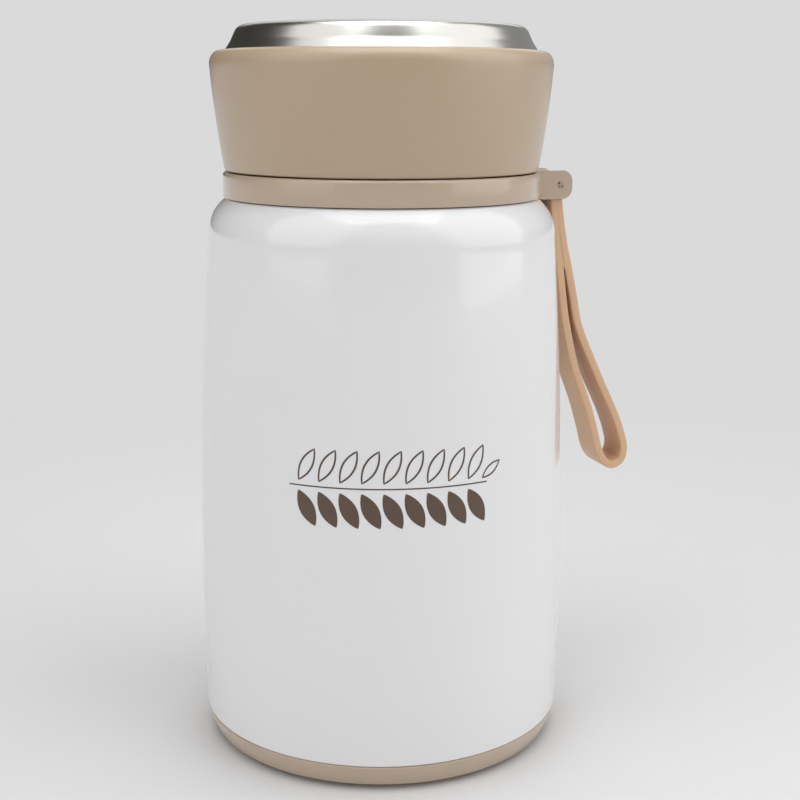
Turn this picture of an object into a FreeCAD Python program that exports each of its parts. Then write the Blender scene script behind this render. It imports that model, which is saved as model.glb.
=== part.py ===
import FreeCAD, Part
import math
import os

from FreeCAD import Vector

# Insulated food jar: double-wall steel vessel, inner stopper with a vent, bowl lid and a strap on a swivel collar.
# Millimetres, +Z up. The origin is the centre of the base, and the strap hangs on the +X side.

# Painted outer shell
shell_wall = 0.6
belly_r = 50.3
foot_taper = 0.3
belly_z = 37.0
side_arc_r = 1323.0
shoulder_height = 10.0
shoulder_arc_r = 11.5
seat_z = 148.0
seat_inset = 0.6
skirt_inset = 3.4
ledge_gap = 0.1
ledge_fillet = 0.5

# Neck
neck_inset = 15.8
neck_height = 20.0
neck_step_in = 1.7
neck_step = 1.6
bead_height = 0.7
bead_half = 0.7
bead_above_collar = 0.4

# Inner vessel
liner_wall = 0.6
vacuum_gap = 3.2
neck_gap = 0.2
liner_floor_z = 10.0
liner_corner_r = 12.0
liner_shoulder_r = 7.0
liner_shoulder_drop = 5.0
liner_shoulder_rise = 2.0
liner_shoulder_ease = 1.0

# Shell bottom, vacuum seal and getter
bottom_wall = 0.6
bottom_flange = 2.2
bottom_corner_r = 1.2
bottom_lip = 0.2
dimple_r = 9.0
dimple_depth = 1.0
seal_r = 3.0
seal_tip_r = 2.1
seal_height = 0.9
getter_r = 5.5
getter_height = 1.7
weld_gap = 0.05

# Base cap
cap_height = 7.0
cap_inset = 0.1
cap_lean = 1.9
cap_bulge = 0.35
cap_edge = 0.35
cap_low_edge = 0.5
cap_foot_inset = 2.6
cap_foot_height = 0.5
cap_floor = 2.0
cap_groove = 0.8
cap_groove_inset = 5.3
cap_groove_width = 11.0
cap_gap = 0.2

# Strap collar
collar_proud = 0.45
collar_height = 6.6
collar_edge = 0.9
collar_low_edge = 0.3
collar_wall = 2.0
collar_roof = 2.0
collar_gap = 0.25

# Lug on the collar, its slot and the pin
pin_inset = 0.9
pin_above_seat = 2.75
pin_r = 1.2
pin_dome = 0.35
pin_proud = 0.25
lug_nose = 2.7
lug_half = 3.1
lug_corner_r = 2.2
lug_root = 3.2
lug_shelf = 1.2
lug_step = 1.2
lug_ear = 2.2
lug_edge = 0.8
slot_width = 9.0
slot_depth = 3.7

# Strap, moulded as one band that splits into a loop
strap_width = 11.0
strap_reach = 24.4
strap_drop = 82.6
strap_band = 2.2
strap_edge = 0.35
strap_shoulder = 3.6
eye_width = 8.4
eye_r = 2.6
eye_gap = 0.06

# Threads, all of one multi-start form
thread_lead = 12.0
thread_starts = 3
thread_height = 1.1
thread_root = 1.7
thread_crest = 0.8
thread_sunk = 0.35
thread_gap = 0.3
thread_above_skirt = 1.8
thread_sweep = 100.0
nut_sweep = 70.0
thread_steps = 12

# Stopper
stopper_wall = 2.0
stopper_plate = 2.0
stopper_edge = 0.6
stopper_above_bead = 0.85
gasket_height = 1.4
gasket_side_gap = 0.4
seat_gap = 0.05
pan_gap = 0.6
pan_wall = 1.4
pan_depth = 17.0
pan_corner_r = 3.0
spigot_wall = 1.8
spigot_depth = 4.0
spigot_gap = 0.15
tube_r = 3.0
tube_wall = 1.4
foam_gap = 0.3

# Vent
well_r = 7.8
well_wall = 1.6
well_height = 3.2
button_side_gap = 0.4
button_height = 3.0
button_travel = 1.5
button_gap = 0.2
button_edge = 0.8
button_rim = 2.2
button_dish = 0.6
stem_r = 1.6
stem_gap = 0.3
stem_end_gap = 0.02
diaphragm_height = 0.6
diaphragm_gap = 0.2
valve_r = 5.2
valve_height = 1.8
valve_edge = 0.5
valve_nose = 1.2
valve_floor = 0.3
valve_gap = 0.1

# Bowl lid
lid_gap = 0.3
lid_height = 30.7
lid_flare = 3.3
lid_bow = 0.3
lid_foot_round = 0.55
lid_foot_edge = 0.8
crown_in = 2.9
crown_rise = 3.5
sleeve_foot_wall = 1.8
sleeve_wall = 2.0
sleeve_roof = 1.6
sleeve_lip = 0.8
sleeve_lip_gap = 0.4
sleeve_socket = 4.0
sleeve_head = 2.0
bowl_wall = 0.6
bowl_gap = 0.15
bowl_throat_inset = 4.1
bowl_spread = 0.5
bowl_flare = 1.45
bowl_flare_height = 2.2
bowl_foot_inset = 3.4
bowl_foot_edge = 3.0
bowl_foot_height = 6.4
bowl_recess_inset = 11.5
bowl_recess = 0.9
bowl_mouth_height = 6.0
bowl_mouth_gap = 1.2
ring_wall = 1.45
ring_foot = 1.0
ring_flange = 1.2
ring_flange_width = 3.0
lid_gasket_height = 1.1
lid_gasket_gap = 0.3
lid_gasket_inset = 0.8

# Radii that follow from the belly's
base_edge_r = belly_r - foot_taper
skirt_r = base_edge_r - skirt_inset
neck_root_r = belly_r - neck_inset
neck_r = neck_root_r - neck_step_in
liner_neck_r = neck_r - shell_wall - neck_gap
pan_r = liner_neck_r - liner_wall - pan_gap
spigot_r = pan_r - pan_wall - spigot_gap
stopper_in_r = neck_r + thread_height + thread_gap
stopper_r = stopper_in_r + stopper_wall
ring_in_r = stopper_r + thread_height + thread_gap
ring_out_r = ring_in_r + ring_wall
bowl_mouth_r = ring_out_r + bowl_gap + bowl_wall
sleeve_foot_in_r = bowl_mouth_r + bowl_gap
lid_foot_r = sleeve_foot_in_r + sleeve_foot_wall
lid_wide_r = lid_foot_r + lid_flare
bowl_throat_r = lid_wide_r - bowl_throat_inset
bowl_waist_r = bowl_throat_r + bowl_spread
bowl_foot_r = bowl_throat_r - bowl_foot_inset
bowl_recess_r = bowl_foot_r - bowl_recess_inset
collar_r = lid_foot_r + collar_proud
seat_edge_r = collar_r - seat_inset
button_r = well_r - button_side_gap
cap_top_r = base_edge_r - cap_inset
cap_low_r = cap_top_r - cap_lean
cap_foot_r = cap_low_r - cap_foot_inset
cap_groove_out_r = cap_foot_r - cap_groove_inset
cap_groove_in_r = cap_groove_out_r - cap_groove_width

# Distances out to the lug's and the pin's places
pin_s = belly_r - pin_inset
lug_end_s = pin_s + lug_nose
lug_root_s = collar_r - lug_root
lug_shelf_s = seat_edge_r + lug_shelf
slot_end_s = pin_s - slot_depth

# Heights that follow from the driving dimensions
skirt_low_z = cap_floor + cap_gap
ledge_z = cap_height + ledge_gap
shoulder_start_z = seat_z - shoulder_height
rim_z = seat_z + neck_height
liner_shoulder_z = seat_z - liner_shoulder_drop
liner_neck_z = liner_shoulder_z + liner_shoulder_rise
collar_z = seat_z + collar_gap
collar_top = collar_z + collar_height
bead_z = collar_top + bead_above_collar + bead_half
pin_z = seat_z + pin_above_seat
stopper_low_z = bead_z + bead_half + stopper_above_bead
stopper_top = rim_z + gasket_height + 2 * seat_gap + stopper_plate
pan_low_z = rim_z - pan_depth
lid_z = collar_top + lid_gap
lid_top = lid_z + lid_height
lid_side_top = lid_height - crown_rise
thread_pitch = thread_lead / thread_starts
cap_thread_z = stopper_low_z + thread_above_skirt
mate_thread_z = cap_thread_z + thread_pitch / 2

# The part of a corner's depth that its quarter circle stands back from the tip at its middle
set_back = 1 - math.sqrt(0.5)

# The strap's outline as shares of its reach out from the pin and of its drop below it: down the inner side, round
# the heel and up the outer side. The loop's hole runs beside the points below the split.
strap_top = 1
strap_form = [
    (-0.090, 0.039),
    (-0.045, 0.184),
    (0.000, 0.277),
    (0.043, 0.367),
    (0.092, 0.456),
    (0.225, 0.622),
    (0.426, 0.780),
    (0.525, 0.874),
    (0.598, 0.947),
    (0.697, 0.988),
    (0.824, 1.000),
    (0.955, 0.979),
    (1.000, 0.932),
    (0.959, 0.875),
    (0.865, 0.803),
    (0.680, 0.691),
    (0.529, 0.597),
    (0.346, 0.473),
    (0.266, 0.367),
    (0.197, 0.277),
    (0.127, 0.190),
    (0.049, 0.039),
]

AXIS = Vector(0, 0, 1)
ORIGIN = Vector(0, 0, 0)


def at(r, z):
    """A point of an outline: r out from the axis, z up."""
    return Vector(r, 0, z)


def path(start, *steps):
    """Joined edges from start: a point adds a line, and a pair of points adds an arc through the first."""
    edges = []
    here = at(*start)
    for step in steps:
        if isinstance(step[0], tuple):
            through, end = at(*step[0]), at(*step[1])
            edges.append(Part.Arc(here, through, end).toShape())
        else:
            end = at(*step)
            edges.append(Part.LineSegment(here, end).toShape())
        here = end
    return edges


def turn(edges):
    """The solid that a closed outline makes about the axis."""
    face = Part.Face(Part.Wire(edges))
    solid = face.revolve(ORIGIN, AXIS, 360)
    return solid if solid.Volume > 0 else solid.reversed()


def turned(start, *steps):
    """A turned solid whose outline closes back to its start."""
    return turn(path(start, *steps, start))


def corner(before, tip, after, radius):
    """The pair of points that rounds the corner at tip, as (start, (middle, end))."""
    b, t, a = at(*before), at(*tip), at(*after)
    to_b = (b - t).normalize()
    to_a = (a - t).normalize()
    half = to_b.getAngle(to_a) / 2
    reach = radius / math.tan(half)
    middle = t + (to_b + to_a).normalize() * (radius / math.sin(half) - radius)
    first, last = t + to_b * reach, t + to_a * reach
    return (first.x, first.z), ((middle.x, middle.z), (last.x, last.z))


def sheet(edges, wall):
    """A thin turned wall: the band between a path and its offset, to the left of the path if wall is positive."""
    wire = Part.Wire(edges)
    other = wire.makeOffset2D(wall, 0, False, True)
    ends = wire.OrderedVertexes
    far = other.OrderedVertexes
    if (ends[0].Point - far[0].Point).Length > (ends[0].Point - far[-1].Point).Length:
        far = far[::-1]
    caps = [
        Part.LineSegment(ends[0].Point, far[0].Point).toShape(),
        Part.LineSegment(ends[-1].Point, far[-1].Point).toShape(),
    ]
    face = Part.Face(Part.Wire(Part.__sortEdges__(wire.Edges + other.Edges + caps)))
    solid = face.revolve(ORIGIN, AXIS, 360)
    return solid if solid.Volume > 0 else solid.reversed()


def cylinder(r, z0, z1):
    return Part.makeCylinder(r, z1 - z0, at(0, z0), AXIS)


def tube(r0, r1, z0, z1):
    return cylinder(r1, z0, z1).cut(cylinder(r0, z0, z1))


def thread(wall_r, sign, z0, sweep):
    """Helical ridges on a wall, one per start. sign is 1 for a ridge that stands outwards and -1 inwards."""
    foot = wall_r - sign * thread_sunk
    crest = wall_r + sign * thread_height
    ridges = []
    for start in range(thread_starts):
        sections = []
        for step in range(thread_steps + 1):
            share = step / thread_steps
            angle = math.radians(sweep * share + 360.0 * start / thread_starts)
            rise = z0 + thread_lead * sweep * share / 360.0
            fade = min(1.0, 6.0 * share + 0.15, 6.0 * (1.0 - share) + 0.15)
            tip = foot + (crest - foot) * fade
            profile = [
                (foot, rise - thread_root / 2),
                (tip, rise - thread_crest / 2),
                (tip, rise + thread_crest / 2),
                (foot, rise + thread_root / 2),
            ]
            points = [Vector(r * math.cos(angle), r * math.sin(angle), z) for r, z in profile]
            sections.append(Part.makePolygon(points + points[:1]))
        ridges.append(Part.makeLoft(sections, True, True))
    return ridges


def side_r(z, inset=0.0):
    """Radius of the body's side at a height: straight to the belly, then a long arc towards the shoulder."""
    if z <= belly_z:
        return belly_r - inset
    arc = side_arc_r - inset
    return belly_r - side_arc_r + math.sqrt(arc * arc - (z - belly_z) ** 2)


def shoulder_tip():
    """Middle of the shoulder's arc, between the side and the collar's seat."""
    ax, az = side_r(shoulder_start_z), shoulder_start_z
    bx, bz = seat_edge_r, seat_z
    mx, mz = (ax + bx) / 2, (az + bz) / 2
    half = math.hypot(bx - ax, bz - az) / 2
    sag = shoulder_arc_r - math.sqrt(shoulder_arc_r**2 - half**2)
    nx, nz = (bz - az) / (2 * half), -(bx - ax) / (2 * half)
    return mx + nx * sag, mz + nz * sag


def outer_shell():
    side_mid_z = (belly_z + shoulder_start_z) / 2
    ledge_a, ledge_arc = corner((skirt_r, ledge_z), (base_edge_r, ledge_z), (belly_r, belly_z), ledge_fillet)
    edges = path(
        (skirt_r, skirt_low_z),
        (skirt_r, ledge_z),
        ledge_a,
        ledge_arc,
        (belly_r, belly_z),
        ((side_r(side_mid_z), side_mid_z), (side_r(shoulder_start_z), shoulder_start_z)),
        (shoulder_tip(), (seat_edge_r, seat_z)),
        (neck_root_r, seat_z),
        (neck_root_r, bead_z - bead_half),
        ((neck_root_r + bead_height, bead_z), (neck_root_r, bead_z + bead_half)),
        (neck_r, bead_z + bead_half + neck_step),
        (neck_r, rim_z - liner_wall),
    )
    shell = sheet(edges, shell_wall)
    return shell.fuse(thread(neck_r, 1, mate_thread_z, thread_sweep))


def inner_liner():
    inset = shell_wall + vacuum_gap
    wall_r = belly_r - inset
    low_a, low_arc = corner((0, liner_floor_z), (wall_r, liner_floor_z), (wall_r, belly_z), liner_corner_r)
    top_z = liner_shoulder_z - liner_shoulder_r
    mid_z = (belly_z + top_z) / 2
    top_r = side_r(top_z, inset)
    turn_r = liner_shoulder_r - liner_shoulder_ease
    turn_a, turn_arc = corner((top_r, top_z), (top_r, liner_shoulder_z), (liner_neck_r, liner_neck_z), turn_r)
    edges = path(
        (0, liner_floor_z),
        low_a,
        low_arc,
        (wall_r, belly_z),
        ((side_r(mid_z, inset), mid_z), (top_r, top_z)),
        turn_a,
        turn_arc,
        (liner_neck_r, liner_neck_z),
        (liner_neck_r, rim_z - liner_wall),
        (neck_r, rim_z - liner_wall),
    )
    return sheet(edges, liner_wall)


def shell_bottom():
    flange_r = skirt_r - shell_wall - weld_gap
    plate_z = skirt_low_z + bottom_flange
    edge_a, edge_arc = corner((flange_r, skirt_low_z), (flange_r, plate_z), (0, plate_z), bottom_corner_r)
    edges = path(
        (flange_r, skirt_low_z + bottom_lip),
        edge_a,
        edge_arc,
        (dimple_r, plate_z),
        (dimple_r - dimple_depth, plate_z + dimple_depth),
        (0, plate_z + dimple_depth),
    )
    return sheet(edges, bottom_wall)


def vacuum_seal():
    seal_z = skirt_low_z + bottom_flange + dimple_depth - bottom_wall
    return turned(
        (0, seal_z),
        (seal_r, seal_z),
        (seal_r, seal_z - seal_height / 2),
        (seal_tip_r, seal_z - seal_height),
        (0, seal_z - seal_height),
    )


def getter():
    return cylinder(getter_r, liner_floor_z - getter_height, liner_floor_z)


def base_cap():
    inner_r = skirt_r + cap_gap
    low_z = cap_foot_height + cap_low_edge
    side_mid = ((cap_low_r + cap_top_r) / 2 + cap_bulge, (low_z + cap_height) / 2)
    return turned(
        (0, 0),
        (cap_groove_in_r, 0),
        (cap_groove_in_r + cap_groove, cap_groove),
        (cap_groove_out_r - cap_groove, cap_groove),
        (cap_groove_out_r, 0),
        (cap_foot_r, 0),
        (cap_foot_r, cap_foot_height),
        (cap_low_r - cap_low_edge, cap_foot_height),
        ((cap_low_r - set_back * cap_low_edge, cap_foot_height + set_back * cap_low_edge), (cap_low_r, low_z)),
        (side_mid, (cap_top_r, cap_height - cap_edge)),
        (cap_top_r - cap_edge, cap_height),
        (inner_r, cap_height),
        (inner_r, cap_floor),
        (0, cap_floor),
    )


def lug_outline():
    """The lug seen along its pin: a bar with two rounded outer corners, stepped over the shoulder."""
    low_z, high_z = pin_z - lug_half, pin_z + lug_half
    low_a, low_arc = corner((lug_shelf_s, low_z), (lug_end_s, low_z), (lug_end_s, pin_z), lug_corner_r)
    high_a, high_arc = corner((lug_end_s, pin_z), (lug_end_s, high_z), (lug_root_s, high_z), lug_corner_r)
    return path(
        (lug_root_s, collar_z),
        (lug_shelf_s, collar_z),
        (lug_shelf_s + lug_step, low_z),
        low_a,
        low_arc,
        high_a,
        high_arc,
        (lug_root_s, high_z),
        (lug_root_s, collar_z),
    )


def slab(edges, half):
    """A closed XZ outline made a solid from -half to +half in Y."""
    face = Part.Face(Part.Wire(edges))
    face.translate(Vector(0, -half, 0))
    solid = face.extrude(Vector(0, 2 * half, 0))
    return solid if solid.Volume > 0 else solid.reversed()


def round_edges(solid, radius, keep):
    """Fillets the edges that keep(edge) accepts."""
    chosen = [e for e in solid.Edges if keep(e)]
    return solid.makeFillet(radius, chosen) if chosen else solid


def on_side(edge, half):
    """Whether an edge lies on one of the two flat sides of a slab."""
    return abs(abs(edge.CenterOfMass.y) - half) < half / 1000


def strap_collar():
    in_r = neck_root_r + collar_gap
    top_a, top_arc = corner((collar_r, collar_z), (collar_r, collar_top), (in_r, collar_top), collar_edge)
    ring = turned(
        (in_r, collar_z),
        (in_r + collar_wall, collar_z),
        (in_r + collar_wall, collar_top - collar_roof),
        (collar_r - collar_wall, collar_top - collar_roof),
        (collar_r - collar_wall, collar_z),
        (collar_r - collar_low_edge, collar_z),
        (collar_r, collar_z + collar_low_edge),
        top_a,
        top_arc,
        (in_r, collar_top),
    )
    half = slot_width / 2 + lug_ear
    lug = slab(lug_outline(), half)
    lug = round_edges(lug, lug_edge, lambda e: on_side(e, half) and e.BoundBox.XMax > lug_root_s + lug_edge)
    slot = Part.makeBox(2 * lug_end_s, slot_width, 4 * lug_half, Vector(slot_end_s, -slot_width / 2, pin_z - 2 * lug_half))
    hole = Part.makeCylinder(pin_r, 4 * half, Vector(pin_s, -2 * half, pin_z), Vector(0, 1, 0))
    return ring.fuse(lug).cut(slot).cut(hole)


def strap_pin():
    half = slot_width / 2 + lug_ear + pin_proud
    low_a, low_arc = corner((0, -half), (pin_r, -half), (pin_r, half), pin_dome)
    high_a, high_arc = corner((pin_r, -half), (pin_r, half), (0, half), pin_dome)
    pin = turned((0, -half), low_a, low_arc, high_a, high_arc, (0, half))
    pin.rotate(ORIGIN, Vector(1, 0, 0), 90)
    pin.translate(at(pin_s, pin_z))
    return pin


def beside(points, distance):
    """The inner points of a run, moved sideways by a distance to the left of the run."""
    moved = []
    for before, here, after in zip(points, points[1:], points[2:]):
        run = math.hypot(after[0] - before[0], after[1] - before[1])
        aside_r = -distance * (after[1] - before[1]) / run
        aside_z = distance * (after[0] - before[0]) / run
        moved.append((here[0] + aside_r, here[1] + aside_z))
    return moved


def curve(points):
    """A smooth edge through XZ points."""
    spline = Part.BSplineCurve()
    spline.interpolate([at(*p) for p in points])
    return spline.toShape()


def strap():
    form = [(pin_s + strap_reach * out, pin_z - strap_drop * down) for out, down in strap_form]
    inside, outside = form[0], form[-1]
    blank = slab([curve(form), *path(outside, (outside[0], pin_z), (inside[0], pin_z), inside)], strap_width / 2)
    loop = beside(form[strap_top:-strap_top], strap_band)
    hole = slab([curve(loop), *path(loop[-1], loop[0])], strap_width)
    blank = blank.cut(hole)
    blank = round_edges(blank, strap_edge, lambda e: on_side(e, strap_width / 2))
    trim_drop = 2 * strap_shoulder
    for low_y in (eye_width / 2, -strap_width):
        corner_at = Vector(pin_s - trim_drop, low_y, pin_z - strap_shoulder)
        blank = blank.cut(Part.makeBox(2 * trim_drop, strap_width - eye_width / 2, trim_drop, corner_at))
    eye = Part.makeCylinder(eye_r, eye_width, Vector(pin_s, -eye_width / 2, pin_z), Vector(0, 1, 0))
    bore = Part.makeCylinder(pin_r + eye_gap, strap_width, Vector(pin_s, -strap_width / 2, pin_z), Vector(0, 1, 0))
    return blank.fuse(eye).removeSplitter().cut(bore)


def stopper_cap():
    plate_z = stopper_top - stopper_plate
    edge_a, edge_arc = corner((stopper_r, stopper_low_z), (stopper_r, stopper_top), (0, stopper_top), stopper_edge)
    cap = turned(
        (stem_r + stem_gap, plate_z),
        (spigot_r - spigot_wall, plate_z),
        (spigot_r - spigot_wall, plate_z - spigot_depth),
        (spigot_r, plate_z - spigot_depth),
        (spigot_r, plate_z),
        (stopper_in_r, plate_z),
        (stopper_in_r, stopper_low_z),
        (stopper_r, stopper_low_z),
        edge_a,
        edge_arc,
        (well_r + well_wall, stopper_top),
        (well_r + well_wall, stopper_top + well_height),
        (well_r, stopper_top + well_height),
        (well_r, stopper_top),
        (stem_r + stem_gap, stopper_top),
    )
    inner_ridges = thread(stopper_in_r, -1, cap_thread_z, nut_sweep)
    outer_ridges = thread(stopper_r, 1, mate_thread_z, thread_sweep)
    return cap.fuse(inner_ridges + outer_ridges)


def stopper_pan():
    top_z = stopper_top - stopper_plate
    low_a, low_arc = corner((0, pan_low_z), (pan_r, pan_low_z), (pan_r, top_z), pan_corner_r)
    in_r, floor_z = pan_r - pan_wall, pan_low_z + pan_wall
    in_a, in_arc = corner((in_r, top_z), (in_r, floor_z), (0, floor_z), pan_corner_r - pan_wall)
    return turned(
        (tube_r, pan_low_z),
        low_a,
        low_arc,
        (pan_r, top_z),
        (in_r, top_z),
        in_a,
        in_arc,
        (tube_r + tube_wall, floor_z),
        (tube_r + tube_wall, top_z),
        (tube_r, top_z),
    )


def stopper_foam():
    low_z = pan_low_z + pan_wall + foam_gap
    high_z = stopper_top - stopper_plate - spigot_depth - foam_gap
    outer = pan_r - pan_wall - foam_gap
    a, arc = corner((0, low_z), (outer, low_z), (outer, high_z), pan_corner_r - pan_wall)
    return turned(
        (tube_r + tube_wall + foam_gap, low_z), a, arc, (outer, high_z), (tube_r + tube_wall + foam_gap, high_z)
    )


def stopper_gasket():
    low_z = rim_z + seat_gap
    inner = pan_r + gasket_side_gap
    outer = stopper_in_r - gasket_side_gap
    return turned(
        (inner, low_z),
        (outer, low_z),
        (outer, low_z + gasket_height),
        (inner, low_z + gasket_height),
    )


def vent_diaphragm():
    low = stopper_top + seat_gap
    return tube(stem_r + stem_gap, well_r - diaphragm_gap, low, low + diaphragm_height)


def vent_button():
    low = stopper_top + seat_gap + diaphragm_height + button_travel + button_gap
    high = low + button_height
    dish_r = button_r - button_rim
    a, arc = corner((button_r, low), (button_r, high), (0, high), button_edge)
    return turned(
        (0, pan_low_z - valve_height + valve_floor),
        (stem_r, pan_low_z - valve_height + valve_floor),
        (stem_r, low),
        (button_r, low),
        a,
        arc,
        (dish_r, high),
        (dish_r - 2 * button_dish, high - button_dish),
        (0, high - button_dish),
    )


def vent_valve():
    high = pan_low_z - valve_gap
    low = high - valve_height
    socket_r = stem_r + stem_end_gap
    socket_z = pan_low_z - valve_height + valve_floor - stem_end_gap
    return turned(
        (socket_r, high),
        (valve_r, high),
        (valve_r, high - valve_edge),
        (stem_r + valve_nose, low),
        (0, low),
        (0, socket_z),
        (socket_r, socket_z),
    )


def lid_side_r(height):
    """Outer radius of the sleeve at a height above the lid's foot, on the arc of its side."""
    share = (height - lid_foot_edge) / (lid_side_top - lid_foot_edge)
    return lid_foot_r + lid_flare * share + 4 * lid_bow * share * (1 - share)


def lid_sleeve():
    mid = (lid_foot_edge + lid_side_top) / 2
    roof_z = lid_top - sleeve_roof
    foot_mid = (lid_foot_r - set_back * lid_foot_round, lid_z + set_back * lid_foot_edge)
    crown_mid = (lid_wide_r - set_back * crown_in, lid_top - set_back * crown_rise)
    return turned(
        (ring_in_r + sleeve_lip_gap, lid_z),
        (lid_foot_r - lid_foot_round, lid_z),
        (foot_mid, (lid_side_r(lid_foot_edge), lid_z + lid_foot_edge)),
        ((lid_side_r(mid), lid_z + mid), (lid_wide_r, lid_z + lid_side_top)),
        (crown_mid, (lid_wide_r - crown_in, lid_top)),
        (bowl_throat_r + bowl_gap, lid_top),
        (bowl_waist_r + bowl_gap, roof_z),
        (lid_wide_r - sleeve_wall, roof_z),
        (lid_wide_r - sleeve_wall, lid_z + lid_side_top - sleeve_head),
        (sleeve_foot_in_r, lid_z + sleeve_socket),
        (sleeve_foot_in_r, lid_z + sleeve_lip),
        (ring_in_r + sleeve_lip_gap, lid_z + sleeve_lip),
    )


def lid_bowl():
    foot_top = lid_top + bowl_foot_height
    flare = (bowl_throat_r - bowl_flare, lid_top + bowl_flare_height)
    rim_a, rim_arc = corner(flare, (bowl_foot_r, foot_top), (0, foot_top), bowl_foot_edge)
    edges = path(
        (0, foot_top - bowl_recess),
        (bowl_recess_r, foot_top - bowl_recess),
        (bowl_recess_r + 2 * bowl_recess, foot_top),
        rim_arc[1],
        (rim_arc[0], rim_a),
        flare,
        (bowl_throat_r, lid_top),
        (bowl_waist_r, lid_top - sleeve_roof),
        (bowl_mouth_r, lid_z + bowl_mouth_height),
        (bowl_mouth_r, lid_z + sleeve_lip + bowl_mouth_gap),
    )
    return sheet(edges, -bowl_wall)


def lid_thread_ring():
    low_z = lid_z + sleeve_lip + seat_gap
    flange_z = stopper_top + lid_gasket_height + 2 * seat_gap
    top_z = flange_z + ring_flange
    flange_r = stopper_r - ring_flange_width
    ring = turned(
        (ring_in_r, low_z),
        (bowl_mouth_r, low_z),
        (bowl_mouth_r, low_z + ring_foot),
        (ring_out_r, low_z + ring_foot),
        (ring_out_r, top_z),
        (flange_r, top_z),
        (flange_r, flange_z),
        (ring_in_r, flange_z),
    )
    return ring.fuse(thread(ring_in_r, -1, cap_thread_z, nut_sweep))


def lid_gasket():
    low_z = stopper_top + seat_gap
    inner = stopper_r - ring_flange_width + lid_gasket_gap
    return tube(inner, stopper_r - lid_gasket_inset, low_z, low_z + lid_gasket_height)


PARTS = {
    "outer_shell": outer_shell,
    "inner_liner": inner_liner,
    "shell_bottom": shell_bottom,
    "vacuum_seal": vacuum_seal,
    "getter": getter,
    "base_cap": base_cap,
    "strap_collar": strap_collar,
    "strap_pin": strap_pin,
    "strap": strap,
    "stopper_cap": stopper_cap,
    "stopper_pan": stopper_pan,
    "stopper_foam": stopper_foam,
    "stopper_gasket": stopper_gasket,
    "vent_diaphragm": vent_diaphragm,
    "vent_button": vent_button,
    "vent_valve": vent_valve,
    "lid_sleeve": lid_sleeve,
    "lid_bowl": lid_bowl,
    "lid_thread_ring": lid_thread_ring,
    "lid_gasket": lid_gasket,
}


def main():
    os.makedirs("parts", exist_ok=True)
    for name, make in PARTS.items():
        shape = make()
        solids = shape.Solids
        print(f"{name}: {len(solids)} solid, {shape.Volume / 1000:.2f} cm3, valid {shape.isValid()}")
        shape.exportStep(os.path.join("parts", name + ".step"))


main()
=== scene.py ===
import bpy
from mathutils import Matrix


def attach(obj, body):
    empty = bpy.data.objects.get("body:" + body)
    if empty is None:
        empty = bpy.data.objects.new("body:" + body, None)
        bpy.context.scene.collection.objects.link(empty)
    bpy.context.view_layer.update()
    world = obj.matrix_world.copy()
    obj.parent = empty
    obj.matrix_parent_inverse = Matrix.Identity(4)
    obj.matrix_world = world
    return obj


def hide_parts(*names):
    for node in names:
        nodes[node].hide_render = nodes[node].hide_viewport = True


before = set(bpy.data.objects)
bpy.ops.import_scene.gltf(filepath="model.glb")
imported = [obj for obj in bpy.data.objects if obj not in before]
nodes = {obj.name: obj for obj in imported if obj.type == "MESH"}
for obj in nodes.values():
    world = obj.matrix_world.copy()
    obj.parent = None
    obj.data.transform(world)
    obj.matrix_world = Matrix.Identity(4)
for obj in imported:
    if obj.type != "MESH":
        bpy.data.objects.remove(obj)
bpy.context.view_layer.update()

import math

import bpy
import numpy as np
from mathutils import Euler, Matrix, Vector

mm = 0.001
scene = bpy.context.scene
scene.view_settings.view_transform = "Standard"
print("frame loaded:", len(nodes), "nodes")


# camera: pinhole fitted to the rims of the jar, turned so that the strap's lug lies behind the right edge;
# lengths in metres and angles in degrees, with the lens and the sensor in millimetres

cameraSettings = {
    "around": -17.5,  # degrees about the jar's axis, 0 would look along +Y
    "distance": 0.3707,
    "height": 0.1751,
    "down": 12.62,
    "aside": 0.79,  # the jar stands a little left of the picture's middle
    "roll": 0.21,
    "lens": 61.65,
    "sensor": 36,
    "near": 0.01,
}


def aroundJar(azimuth, elevation, distance):
    # a point at a distance from the origin, at an elevation and at an azimuth from the camera's side,
    # which is positive to the camera's right
    turn = math.radians(azimuth + cameraSettings["around"])
    rise = math.radians(elevation)
    flat = distance * math.cos(rise)
    return Vector((flat * math.sin(turn), -flat * math.cos(turn), distance * math.sin(rise)))


def addCamera(s):
    data = bpy.data.cameras.new("camera")
    data.lens = s["lens"]
    data.sensor_width = s["sensor"]
    data.clip_start = s["near"]
    camera = bpy.data.objects.new("camera", data)
    camera.location = aroundJar(0, 0, s["distance"]) + Vector((0, 0, s["height"]))
    pitch, heading = math.radians(90 - s["down"]), math.radians(s["around"] - s["aside"])
    aim = Euler((pitch, 0, heading)).to_matrix()
    camera.rotation_euler = (aim @ Matrix.Rotation(math.radians(s["roll"]), 3, "Z")).to_euler()
    scene.collection.objects.link(camera)
    scene.camera = camera


addCamera(cameraSettings)


# surfaces from numpy grids, and the settings of every piece, are in millimetres

def meshFromArrays(name, points, faces, sharp=35.0):
    # faces is an integer array of quads; a repeated corner index makes a triangle
    mesh = bpy.data.meshes.new(name)
    quads = [tuple(dict.fromkeys(face)) for face in faces.tolist()]
    mesh.from_pydata(points.tolist(), [], quads)
    mesh.validate()
    mesh.polygons.foreach_set("use_smooth", np.ones(len(mesh.polygons), bool))
    mesh.set_sharp_from_angle(angle=math.radians(sharp))
    piece = bpy.data.objects.new(name, mesh)
    scene.collection.objects.link(piece)
    return piece


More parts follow.
